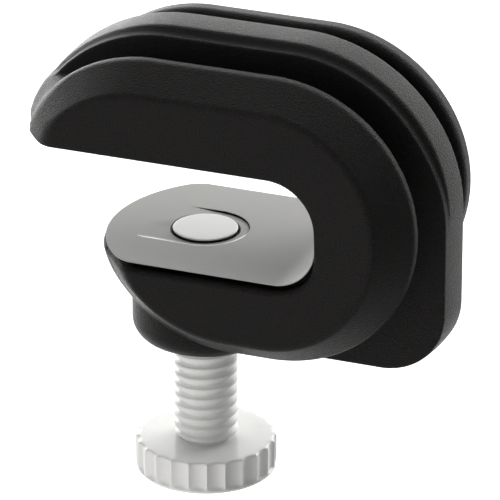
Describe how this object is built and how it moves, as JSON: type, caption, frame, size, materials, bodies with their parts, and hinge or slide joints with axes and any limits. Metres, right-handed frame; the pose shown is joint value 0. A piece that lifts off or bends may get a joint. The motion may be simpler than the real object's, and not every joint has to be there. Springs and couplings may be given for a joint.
{
  "type": "table-edge screw clamp",
  "caption": "C-shaped table-edge clamp in black moulding with two cord grooves round its back, a grey lined lower jaw and a fluted thumb screw with a swivel foot.",
  "frame": {"origin": "on the thumb screw's axis, in the clamping plane of the lower jaw, at the middle of the pressure foot's upper face", "axes": "+Z along the screw towards the upper jaw, -X out of the clamp's mouth, Y across the three layers"},
  "size_m": [0.0689, 0.034, 0.0746],
  "materials": {
    "black_moulding": "fine spark-eroded grain, matte",
    "grey_liner": "satin, smooth",
    "grey_pad": "matte",
    "bush": "turned, satin",
    "brass": "turned",
    "steel": "zinc plated",
    "white_foot": "smooth",
    "white_screw": "moulded, satin",
    "polished_knob": "polished top, satin flutes"
  },
  "bodies": {
    "frame": {"core_frame": "black_moulding", "front_cheek": "black_moulding", "rear_cheek": "black_moulding", "jaw_liner": "grey_liner", "upper_jaw_pad": "grey_pad", "threaded_insert": "brass", "guide_bush": "bush", "cheek_screw_1": "steel", "cheek_screw_2": "steel", "cheek_screw_3": "steel", "cheek_screw_4": "steel", "cheek_insert_1": "brass", "cheek_insert_2": "brass", "cheek_insert_3": "brass", "cheek_insert_4": "brass", "dowel_pin_1": "steel", "dowel_pin_2": "steel"},
    "foot": {"pressure_foot": "white_foot", "foot_clip": "steel"},
    "thumb_screw": {"screw_stud": "white_screw", "knob_wheel": "polished_knob", "knob_washer": "steel", "knob_screw": "steel"}
  },
  "joints": [
    {"name": "foot_lift", "type": "slide", "parent": "frame", "child": "foot", "axis": [0, 0, 1], "range_m": [0, 0.01575]},
    {"name": "screw_turn", "type": "hinge", "parent": "foot", "child": "thumb_screw", "pos_m": [0, 0, -0.02], "axis": [0, 0, 1], "range_deg": [0, 3240]}
  ],
  "couplings": [
    {"joint": "foot_lift", "follows": "screw_turn", "m_per_rad": 0.00027852}
  ]
}
